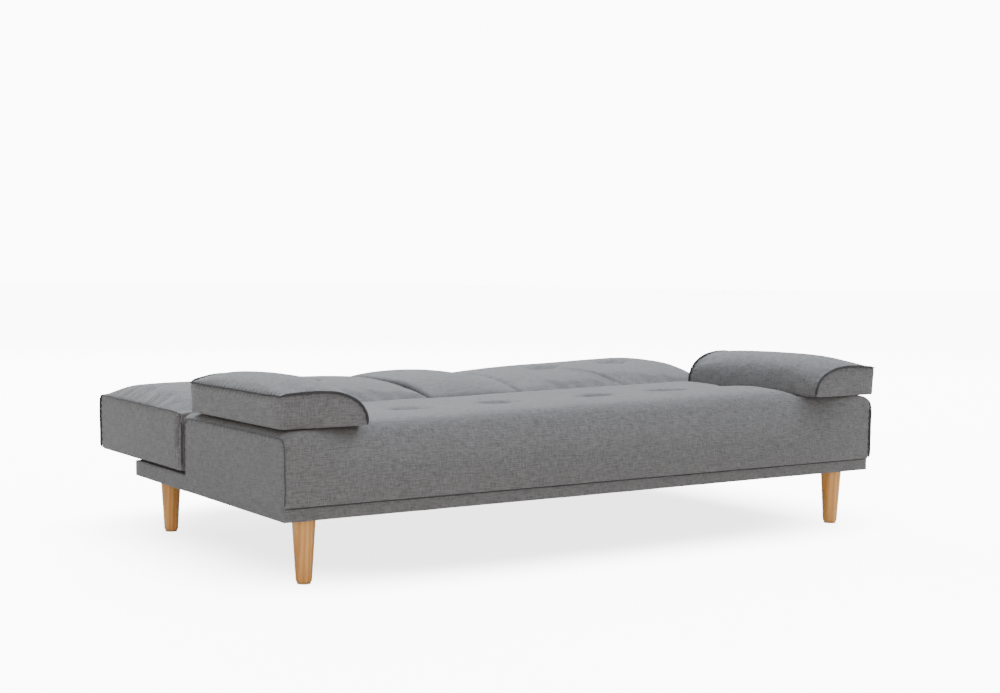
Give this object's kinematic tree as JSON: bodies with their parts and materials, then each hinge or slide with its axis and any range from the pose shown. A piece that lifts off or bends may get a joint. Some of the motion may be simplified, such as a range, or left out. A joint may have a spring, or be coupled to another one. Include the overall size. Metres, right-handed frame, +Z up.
{
  "type": "futon sofa bed",
  "caption": "Upholstered sofa bed laid flat: padded seat on a low timber base with round tapered legs, fold-up backrest, fold-out console with cup wells, and loose bolsters.",
  "frame": {"origin": "on the floor under the middle of the whole piece as it lies flat", "axes": "+X along the length towards the sitter's left hand, +Y from the seat's front edge towards the backrest's far edge, +Z up"},
  "size_m": [1.8288, 1.15, 0.4649],
  "materials": {
    "upholstery": "woven grey upholstery cloth with a fine slub",
    "lining": "black non-woven lining",
    "webbing": "elastic webbing",
    "foam": "open-cell polyurethane foam",
    "fibre_fill": "polyester fibre",
    "frame_timber": "planed pine, unfinished",
    "board": "hardboard",
    "leg_wood": "turned beech with a satin lacquer",
    "steel": "zinc-plated pressed steel",
    "black_plastic": "moulded, fine texture",
    "glide_nylon": "natural nylon glide",
    "pad_rubber": "matt",
    "zip": "nylon coil zip"
  },
  "bodies": {
    "base": {"front_rail": "frame_timber", "rear_rail": "frame_timber", "left_side_rail": "frame_timber", "right_side_rail": "frame_timber", "cross_rails": "frame_timber", "left_riser": "frame_timber", "right_riser": "frame_timber", "seat_rear_board": "frame_timber", "seat_bearers": "frame_timber", "corner_blocks": "frame_timber", "front_left_leg": "leg_wood", "front_right_leg": "leg_wood", "rear_left_leg": "leg_wood", "rear_right_leg": "leg_wood", "hanger_bolts": "steel", "foot_glides": "glide_nylon", "dust_cover": "lining", "base_cover": "upholstery", "seat_webbing": "webbing", "seat_foam": "foam", "seat_tuft_ties": "black_plastic", "seat_cover": "upholstery", "left_hinge_base": "steel", "right_hinge_base": "steel", "hinge_pins": "steel", "seat_hinge_bolts": "steel", "backrest_pads": "pad_rubber"},
    "backrest": {"backrest_near_rail": "frame_timber", "backrest_far_rail": "frame_timber", "left_stile": "frame_timber", "right_stile": "frame_timber", "middle_stiles": "frame_timber", "backrest_board": "board", "backrest_webbing": "webbing", "left_backrest_foam": "foam", "right_backrest_foam": "foam", "left_backrest_cover": "upholstery", "right_backrest_cover": "upholstery", "backrest_tuft_ties": "black_plastic", "backrest_under_cover": "lining", "left_hinge_arm": "steel", "right_hinge_arm": "steel", "backrest_hinge_bolts": "steel", "console_hinge_plates": "steel", "console_pins": "steel", "console_rest": "upholstery"},
    "console": {"console_side_boards": "frame_timber", "console_end_boards": "frame_timber", "console_deck": "board", "console_bushes": "black_plastic", "console_foam": "foam", "console_cover": "upholstery", "console_tray": "black_plastic"},
    "left_bolster": {"left_bolster_cover": "upholstery", "left_bolster_fill": "fibre_fill", "left_bolster_zip": "zip"},
    "right_bolster": {"right_bolster_cover": "upholstery", "right_bolster_fill": "fibre_fill", "right_bolster_zip": "zip"}
  },
  "joints": [
    {"name": "backrest_fold", "type": "hinge", "parent": "base", "child": "backrest", "pos_m": [0, -0.015, 0.331], "axis": [1, 0, 0], "range_deg": [0, 80]},
    {"name": "console_fold", "type": "hinge", "parent": "backrest", "child": "console", "pos_m": [0, 0.103, 0.341], "axis": [1, 0, 0], "range_deg": [0, 98]},
    {"name": "left_bolster_lift", "type": "slide", "parent": "base", "child": "left_bolster", "axis": [0, 0, 1], "range_m": [0, 0.3]},
    {"name": "right_bolster_lift", "type": "slide", "parent": "base", "child": "right_bolster", "axis": [0, 0, 1], "range_m": [0, 0.3]}
  ]
}
